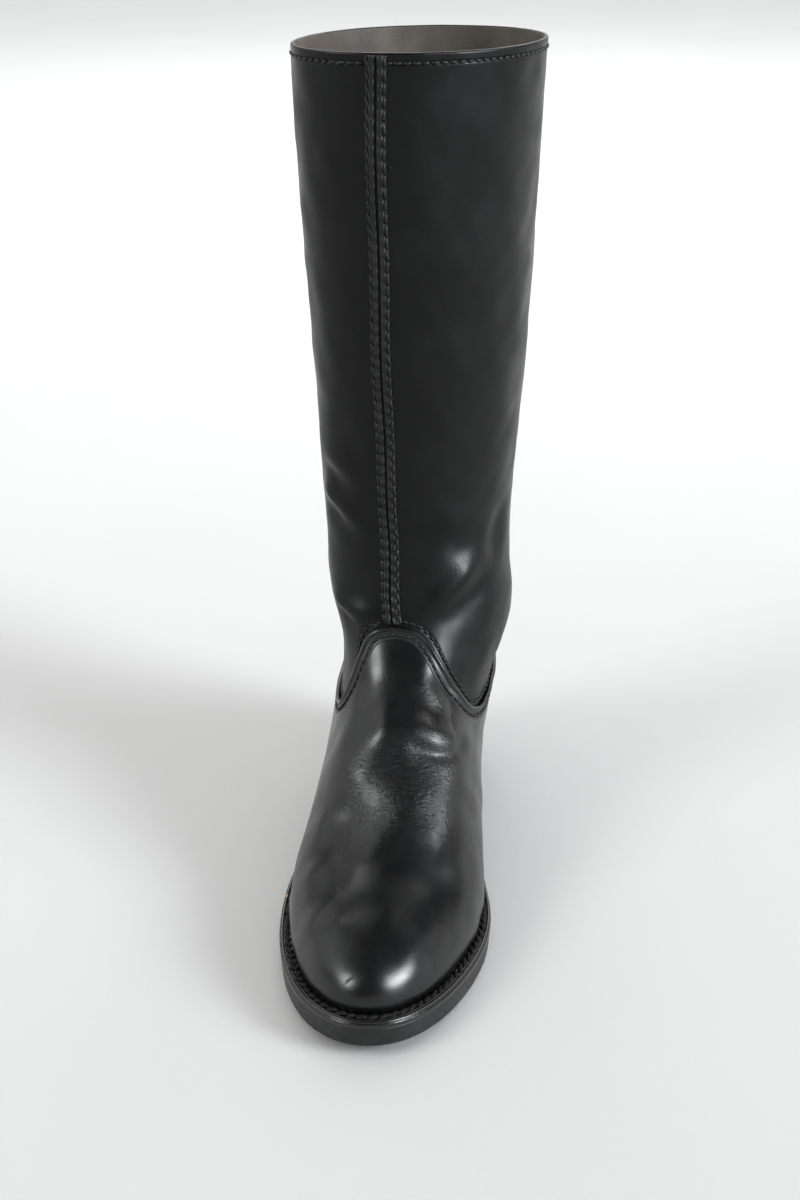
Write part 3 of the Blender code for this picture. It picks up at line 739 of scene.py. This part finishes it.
# Front seam: two raised ridges with a deep groove between them, pinched at each stitch
seam = dict(
    rows=420, across=41, samples=600, half=4.9, groove=0.62, grooveBeat=0.35, height=1.55, floor=-0.15,
    shoulder=2.9, shoulderWidth=0.7, shoulderDrop=0.55, edgeAt=4.2, edgeFlat=0.1,
    dome=0.12, domeAt=2.2, domeTurn=1.2, sink=0.3, backing=0.2, startMm=1.2, endLevel=0.02,
    stitchAt=3.9, dip=0.25, dipWidth=0.6, sway=0.28, swayScale=100.0, swayLength=31.0,
    pinch=0.26, pinchLength=5.3, pinchShift=2.1)


def seamHeight(across, along=0.0):
    side = np.abs(across)
    shift = np.where(across > 0.0, seam["pinchShift"], 0.0)
    beat = np.cos(2.0 * np.pi * along / seam["pinchLength"] + shift)
    groove = seam["groove"] * (1.0 - seam["grooveBeat"] * beat)
    shoulder = ease((side - seam["shoulder"]) / seam["shoulderWidth"])
    ridge = ease(side / groove) * (1.0 - seam["shoulderDrop"] * shoulder)
    ridge = ridge * (1.0 - ease((side - seam["edgeAt"]) / (seam["half"] - seam["edgeAt"])))
    dome = 1.0 + seam["dome"] * np.cos((side - seam["domeAt"]) * seam["domeTurn"]) - seam["pinch"] * beat
    dip = seam["dip"] * bell(side - seam["stitchAt"], seam["dipWidth"])
    height = seam["floor"] + seam["height"] * ridge * dome - dip
    return np.where(side > seam["half"] - seam["edgeFlat"], -seam["sink"], height)


# turn at a distance in mm across the front, with the seam's slight sway
def seamTurn(levels, across):
    step = last["slopeStep"]
    speed = np.linalg.norm(surface(0.5 + step, levels) - surface(0.5 - step, levels), axis=-1) / (2.0 * step)
    sway = seam["sway"] * np.sin(levels * seam["swayScale"] / seam["swayLength"])
    return 0.5 + (across + sway) / speed


def seamLevels(count):
    start = topline(np.array(0.5)) + seam["startMm"] * edgePerMm(np.array(0.5))
    return np.linspace(start, last["collarLevel"] - seam["endLevel"], count)


def buildSeam():
    across = np.linspace(-seam["half"], seam["half"], seam["across"])
    level = np.broadcast_to(seamLevels(seam["rows"])[:, None], (seam["rows"], len(across)))
    turn = seamTurn(level, across)
    middle = surface(0.5, level[:, 0])
    along = lengthAlong(middle)[:, None]
    top = leatherPoints(turn, level, seamHeight(across, along))
    base = leatherPoints(turn, level, np.full(level.shape, -seam["sink"] - seam["backing"]))
    grid = np.concatenate([top, base[:, ::-1]], axis=1)
    rows, columns, _ = grid.shape
    faces = gridFaces(rows, columns, False, True)
    for row, flip in ((0, False), (rows - 1, True)):
        for c in range(columns // 2 - 1):
            corners = (c, columns - 1 - c, columns - 2 - c, c + 1)
            face = tuple(row * columns + k for k in corners)
            faces.append(face[::-1] if flip else face)
    addMesh("front_seam_leather", grid.reshape(-1, 3), faces, [seamLeather], "front_seam")


# Sole: plan of its edge, set out from the feather line
sole = dict(
    columns=520, gap=0.3, weltThick=3.2, weltTuck=8.0, forefootThick=9.2, waistThick=5.0, waistStartY=10.0,
    roughEdge=0.22, roughBand=(0.05, 0.2), roughBlend=(0.3, 0.4, 0.3), roughSeed=3)
sole["drop"] = sole["gap"] + sole["weltThick"] + sole["gap"]


def soleReach(turn):
    return spline(rimTable["y"], rimTable["reach"], surface(turn, 0.0)[:, 1])


def soleEdgePlan(turn, inset):
    step = last["slopeStep"]
    at = surface(turn, 0.0)
    along = surface(turn + step, 0.0) - surface(turn - step, 0.0)
    out = unit(np.stack([along[:, 1], -along[:, 0]], axis=-1))
    return at[:, :2] + out * (soleReach(turn) - inset)[:, None]


def underFeather(plan, drop):
    return np.column_stack([plan, featherHeight(plan[:, 1]) - drop])


# Welt: flat under the foot, a channel for the stitches, a fine groove and a rounded bead
weltBead = table(
    "inset drop",
    (2.35, 0.80), (2.15, 0.85), (2.00, 0.55), (1.85, 0.05), (1.60, -0.22), (1.20, -0.32),
    (0.80, -0.25), (0.48, 0.00), (0.32, 0.35), (0.36, 0.65), (0.62, 0.80), (0.62, 0.95),
    (0.22, 1.05), (0.05, 1.30), (0.0, 1.75), (0.04, 2.60), (0.10, 3.2))
weltChannel = table("share drop", (1.0, 0.0), (0.82, 0.1), (0.6, 1.0), (0.4, 1.0), (0.18, 0.35), (0.0, 0.0))
channel = dict(depth=0.55, vampReach=1.6, beadWidth=2.6)


# inset of a place in the channel: share 0 at the bead, 1 under the vamp
def channelInset(reach, share):
    return channel["beadWidth"] + (reach - channel["vampReach"] - channel["beadWidth"]) * share


def buildWelt():
    turns = np.arange(sole["columns"]) / sole["columns"]
    reach = soleReach(turns)
    tucked = soleEdgePlan(turns, reach + sole["weltTuck"])
    rings = [underFeather(tucked, sole["gap"])]
    for share, drop in zip(weltChannel["share"], weltChannel["drop"]):
        plan = soleEdgePlan(turns, channelInset(reach, share))
        rings.append(underFeather(plan, sole["gap"] + channel["depth"] * drop))
    for inset, drop in zip(weltBead["inset"], weltBead["drop"]):
        rings.append(underFeather(soleEdgePlan(turns, inset), sole["gap"] + drop))
    rings.append(underFeather(tucked, sole["gap"] + sole["weltThick"]))
    grid = np.array(rings)[::-1]
    rows, columns, _ = grid.shape
    addMesh("welt_leather", grid.reshape(-1, 3), gridFaces(rows, columns, True, True),
            [weltLeather], "welt")


def outsoleThick(y):
    thin = ease((y - last["shankStartY"]) / (sole["waistStartY"] - last["shankStartY"]))
    return sole["forefootThick"] + (sole["waistThick"] - sole["forefootThick"]) * thin


# inset from the edge, and share of the way from the sole's bottom to its top
soleSection = table(
    "inset share",
    (1.5, 0.0), (1.0, 0.015), (0.72, 0.05), (0.6, 0.10), (0.5, 0.3), (0.36, 0.55),
    (0.22, 0.8), (0.14, 0.95), (0.14, 1.02), (0.6, 1.03))


def cappedSides(grid):
    rows, columns, _ = grid.shape
    faces = gridFaces(rows, columns, False, True)
    return faces + capFaces(0, columns, True) + capFaces((rows - 1) * columns, columns, False)


def buildOutsole():
    turns = np.arange(sole["columns"]) / sole["columns"]
    dice = np.random.default_rng(sole["roughSeed"])
    low, high = sole["roughBand"]
    rings = []
    for inset, share in zip(soleSection["inset"], soleSection["share"]):
        plan = soleEdgePlan(turns, inset)
        top = featherHeight(plan[:, 1]) - sole["drop"]
        bumps = np.convolve(dice.normal(size=len(turns) + 2), sole["roughBlend"], "valid")
        rough = sole["roughEdge"] * (low < share < high) * bumps
        plan = plan + unit(plan - plan.mean(axis=0)) * rough[:, None]
        rings.append(np.column_stack([plan, top - outsoleThick(plan[:, 1]) * (1.0 - share)]))
    grid = np.array(rings)
    addMesh("outsole_edge", grid.reshape(-1, 3), cappedSides(grid), [soleEdge], "outsole")


# Heel: stacked layers over a rubber top lift
heel = dict(
    breastY=74.0, taper=0.95, drawIn=0.01, inset=0.6, bow=1.5, points=70, breastPoints=12, sharpAngle=35,
    layers=5, layerSteps=8, layerDip=0.28, halfWidth=30.0, seamShare=0.02, liftThick=6.0)
liftSection = table(
    "z narrower",
    (0.0, 0.02), (0.25, 0.010), (0.9, 0.002), (1.6, 0.0), (5.4, 0.0), (6.0, 0.006))


# turn at which the heel's front face meets the sole's edge
def breastTurn():
    backY = girthTable["backY"][0]
    forward = (backY - heel["breastY"]) / (backY - last["toeY"])
    return np.arccos(1.0 - 2.0 * forward) / (2.0 * np.pi)


def heelPlan(scale):
    side = np.linspace(0.0, breastTurn(), heel["points"])
    outer = soleEdgePlan(side, heel["inset"])
    inner = soleEdgePlan(1.0 - side[:0:-1], heel["inset"])
    share = np.linspace(0.0, 1.0, heel["breastPoints"] + 2)[1:-1, None]
    bow = np.array([0.0, heel["bow"]]) * 4.0 * share * (1.0 - share)
    front = outer[-1] + (inner[0] - outer[-1]) * share + bow
    plan = np.vstack([outer, front, inner])
    middle = np.array([0.0, plan[:, 1].mean()])
    return middle + (plan - middle) * scale


def stackHeel(name, sections, material, solid):
    rings = []
    for z, scale in sections:
        plan = heelPlan(scale)
        rings.append(np.column_stack([plan, np.full(len(plan), z)]))
    grid = np.array(rings)
    rows, columns, _ = grid.shape
    piece = addMesh(name, grid.reshape(-1, 3), tubeFaces(rows, columns), [material], solid)
    piece.data.set_sharp_from_angle(angle=radians(heel["sharpAngle"]))


def buildHeel():
    top = last["featherSeat"] - sole["drop"] - sole["waistThick"] - sole["gap"]
    low = heel["liftThick"] + sole["gap"]
    sections = []
    for share in np.linspace(0.0, 1.0, heel["layers"] * heel["layerSteps"] + 1):
        scale = heel["taper"] + (1.0 - heel["taper"]) * share - heel["drawIn"] * np.sin(np.pi * share)
        fromSeam = abs(share * heel["layers"] - round(share * heel["layers"]))
        onSeam = fromSeam < heel["seamShare"] and 0.0 < share < 1.0
        dip = heel["layerDip"] / heel["halfWidth"] * onSeam
        sections.append((low + (top - low) * share, scale - dip))
    stackHeel("heel_layers", sections, heelStack, "heel")
    lift = zip(liftSection["z"], heel["taper"] - liftSection["narrower"])
    stackHeel("heel_top_lift", lift, heelRubber, "top_lift")


# Insole: the footbed inside the upper, with a rounded top edge
insole = dict(columns=240, clear=1.2)
insoleSection = table("inset rise", (0.0, 0.0), (0.0, 2.6), (0.4, 3.2), (1.2, 3.5))


def buildInsole():
    turns = np.arange(insole["columns"]) / insole["columns"]
    inset = soleReach(turns) + upper["wall"] + insole["clear"]
    rings = [underFeather(soleEdgePlan(turns, inset + more), -rise)
             for more, rise in zip(insoleSection["inset"], insoleSection["rise"])]
    grid = np.array(rings)
    addMesh("insole_leather", grid.reshape(-1, 3), cappedSides(grid),
            [insoleLeather], "insole")


# Stitches: short threads that dip into the leather at both ends, joined into one mesh a row
threadMesh = dict(rings=9, sides=8, taper=0.9, taperPower=6)
edgeStitch = dict(pitch=4.0, length=3.5, radius=0.68, flat=0.85, arch=0.4, samples=1400, collarSamples=1200,
                  vampLift=0.1, shaftLift=0.12, vampSlant=9.0, vampWobble=6.0, shaftWobble=4.0)
seamStitch = dict(pitch=5.3, length=4.9, radius=0.8, flat=0.75, arch=0.5, lift=0.35, slant=6.0, wobble=5.0)
weltStitch = dict(pitch=4.7, length=4.9, radius=1.15, flat=0.75, arch=0.55, samples=1600,
                  lift=0.35, slant=22.0, wobble=11.0)
stitchSeeds = dict(vamp=11, shaft=12, seam=13, welt=14)
sizeWobble = 0.06


def threadForm(stitch):
    rings, sides = threadMesh["rings"], threadMesh["sides"]
    along = np.linspace(-1.0, 1.0, rings)
    angle = np.arange(sides) * 2.0 * np.pi / sides
    narrowing = threadMesh["taper"] * along ** threadMesh["taperPower"]
    girth = stitch["radius"] * np.sqrt(np.clip(1.0 - narrowing, 0.0, 1.0))
    x = np.repeat(along * stitch["length"] / 2.0, sides)
    y = (girth[:, None] * np.cos(angle)).ravel()
    arch = stitch["arch"] * (1.0 - along ** 2)[:, None]
    z = (girth[:, None] * np.sin(angle) * stitch["flat"] + arch).ravel()
    return np.column_stack([x, y, z]), tubeFaces(rings, sides)


# centre, heading and outward of each stitch along a line
def stitchLine(points, normals, pitch, closed):
    if closed:
        points = np.vstack([points, points[:1]])
        normals = np.vstack([normals, normals[:1]])
    along = lengthAlong(points)
    count = int(along[-1] / pitch)
    at = (np.arange(count) + 0.5) * along[-1] / count
    near = along[-1] / count * 0.25

    def pick(place, values):
        return np.column_stack([np.interp(place, along, values[:, k]) for k in range(3)])

    tangent = unit(pick(at + near, points) - pick(at - near, points))
    return pick(at, points), tangent, unit(pick(at, normals))


def addStitches(name, lines, form, slant, wobble, seed, finish=threadFinish):
    dice = np.random.default_rng(seed)
    shape, faces = form
    allPoints = []
    allFaces = []
    for centres, tangents, normals in lines:
        turns = np.radians(slant + dice.normal(0.0, wobble, len(centres)))
        sides = unit(np.cross(normals, tangents))
        ahead = tangents * np.cos(turns)[:, None] + sides * np.sin(turns)[:, None]
        sides = np.cross(normals, ahead)
        scale = dice.normal(1.0, sizeWobble, len(centres))
        for k in range(len(centres)):
            start = len(allPoints) * len(shape)
            x, y, z = (shape * (scale[k], 1.0, 1.0)).T[:, :, None]
            allPoints.append(centres[k] + x * ahead[k] + y * sides[k] + z * normals[k])
            allFaces += [[start + i for i in face] for face in faces]
    addMesh(name, np.vstack(allPoints), allFaces, [finish])


def leatherLine(turns, levels, out, pitch, closed):
    points = leatherPoints(turns, levels, np.full(levels.shape, out))
    return stitchLine(points, outward(turns, levels), pitch, closed)


# a line of stitches at a distance below the vamp's top edge, or above it where that is negative
def edgeLine(distance, out):
    turns = np.arange(edgeStitch["samples"]) / edgeStitch["samples"]
    level = topline(turns) - distance * edgePerMm(turns)
    return leatherLine(turns, level, out, edgeStitch["pitch"], True)


def collarLine(out):
    turns = np.arange(edgeStitch["collarSamples"]) / edgeStitch["collarSamples"]
    level = np.full(turns.shape, last["collarLevel"] - upper["collarStitchAt"] * collarMm)
    return leatherLine(turns, level, out, edgeStitch["pitch"], True)


def seamLine(across):
    levels = seamLevels(seam["samples"])
    out = seamHeight(np.array(across)) + seamStitch["lift"]
    return leatherLine(seamTurn(levels, across), levels, out, seamStitch["pitch"], False)


# from one end of the heel round the toe to the other
def weltLine():
    turns = np.linspace(breastTurn(), 1.0 - breastTurn(), weltStitch["samples"])
    plan = soleEdgePlan(turns, channelInset(soleReach(turns), 0.5))
    points = underFeather(plan, sole["gap"] + channel["depth"] - weltStitch["lift"])
    up = np.tile([0.0, 0.0, 1.0], (len(turns), 1))
    return stitchLine(points, up, weltStitch["pitch"], False)


def buildStitches():
    thread = threadForm(edgeStitch)
    vampLines = [edgeLine(vamp["stitchAt"], vampOut(vamp["stitchAt"]) + edgeStitch["vampLift"])]
    addStitches("vamp_stitches", vampLines, thread, edgeStitch["vampSlant"], edgeStitch["vampWobble"],
                stitchSeeds["vamp"])
    out = edgeStitch["shaftLift"] - upper["dip"]
    shaftLines = [edgeLine(-upper["stitchAt"], out), collarLine(out)]
    addStitches("shaft_stitches", shaftLines, thread, 0.0, edgeStitch["shaftWobble"],
                stitchSeeds["shaft"])
    seamLines = [seamLine(-seam["stitchAt"]), seamLine(seam["stitchAt"])]
    addStitches("front_seam_stitches", seamLines, threadForm(seamStitch), seamStitch["slant"],
                seamStitch["wobble"], stitchSeeds["seam"])
    addStitches("welt_stitches", [weltLine()], threadForm(weltStitch), weltStitch["slant"],
                weltStitch["wobble"], stitchSeeds["welt"], weltThread)


buildVamp()
buildUpper()
buildSeam()
buildWelt()
buildOutsole()
buildHeel()
buildInsole()
buildStitches()
print("boot built")


# Floor, light and camera
floorFinish = plainFinish(
    "paleFloor", colour=(0.32, 0.32, 0.317), worn=(0.31, 0.31, 0.307),
    rough=(0.7, 0.85), grain=900.0, depth=0.00020, patchScale=3.0)
floorSize = 9.0
floorMesh = bpy.data.meshes.new("floor")
corners = [(x * floorSize, y * floorSize, 0.0) for x, y in ((-1, -1), (1, -1), (1, 1), (-1, 1))]
floorMesh.from_pydata(corners, [], [(0, 1, 2, 3)])
floorMesh.materials.append(floorFinish)
floor = bpy.data.objects.new("floor", floorMesh)
bpy.context.scene.collection.objects.link(floor)

# a broad lamp and a smaller, brighter one on each side in front, and a fill that the gloss doesn't show
lamps = [
    dict(name="outerLamp", azimuth=-102, elevation=36, spread=44, strength=0.45,
         tint=(0.99, 1.0, 0.99), glossy=True),
    dict(name="outerGlint", azimuth=-58, elevation=39, spread=24, strength=2.1,
         tint=(0.98, 1.0, 0.99), glossy=True),
    dict(name="innerLamp", azimuth=75, elevation=28, spread=30, strength=3.5,
         tint=(0.94, 0.96, 1.0), glossy=True),
    dict(name="innerGlint", azimuth=71, elevation=27, spread=16, strength=2.2,
         tint=(0.94, 0.96, 1.0), glossy=True),
    dict(name="floorFill", azimuth=0, elevation=88, spread=75, strength=2.6,
         tint=(1.0, 1.0, 1.0), glossy=False),
]


def aimed(azimuth, elevation):
    az = radians(azimuth)
    el = radians(elevation)
    return Vector((np.sin(az) * np.cos(el), -np.cos(az) * np.cos(el), np.sin(el)))


for lamp in lamps:
    data = bpy.data.lights.new(lamp["name"], "SUN")
    data.energy = lamp["strength"]
    data.angle = radians(lamp["spread"])
    data.color = lamp["tint"]
    light = bpy.data.objects.new(lamp["name"], data)
    light.rotation_euler = aimed(lamp["azimuth"], lamp["elevation"]).to_track_quat("Z", "Y").to_euler()
    light.visible_glossy = lamp["glossy"]
    bpy.context.scene.collection.objects.link(light)

# a soft box over the floor behind the boot
backBox = dict(place=(0.0, 2.1, 1.5), size=2.2, power=62.0)
data = bpy.data.lights.new("backBox", "AREA")
data.size = backBox["size"]
data.energy = backBox["power"]
light = bpy.data.objects.new("backBox", data)
light.location = backBox["place"]
bpy.context.scene.collection.objects.link(light)

# a pale room that darkens overhead
room = dict(horizon=1.0, overhead=0.14, low=0.02, high=0.4)
world = bpy.data.worlds.new("studio")
world.use_nodes = True
bpy.context.scene.world = world
bpy.context.scene.view_settings.view_transform = "Standard"
sky = world.node_tree
direction = node(sky, "ShaderNodeTexCoord")
split = node(sky, "ShaderNodeSeparateXYZ")
sky.links.new(direction.outputs["Generated"], split.inputs["Vector"])
glow = ranged(sky, split.outputs["Z"], room["low"], room["high"], room["horizon"], room["overhead"])
background = sky.nodes["Background"]
background.inputs["Color"].default_value = (1.0, 1.0, 1.0, 1.0)
sky.links.new(glow, background.inputs["Strength"])

cameraRig = dict(place=(0.077, -0.654, 0.462), aim=(0.0, 0.0, 0.148), lens=47.5, sensor=36.0)
camera = bpy.data.objects.new("camera", bpy.data.cameras.new("camera"))
camera.data.lens = cameraRig["lens"]
camera.data.sensor_width = cameraRig["sensor"]
camera.location = cameraRig["place"]
camera.rotation_euler = (Vector(cameraRig["aim"]) - camera.location).to_track_quat("-Z", "Y").to_euler()
bpy.context.scene.collection.objects.link(camera)
bpy.context.scene.camera = camera
print("stage and camera set")
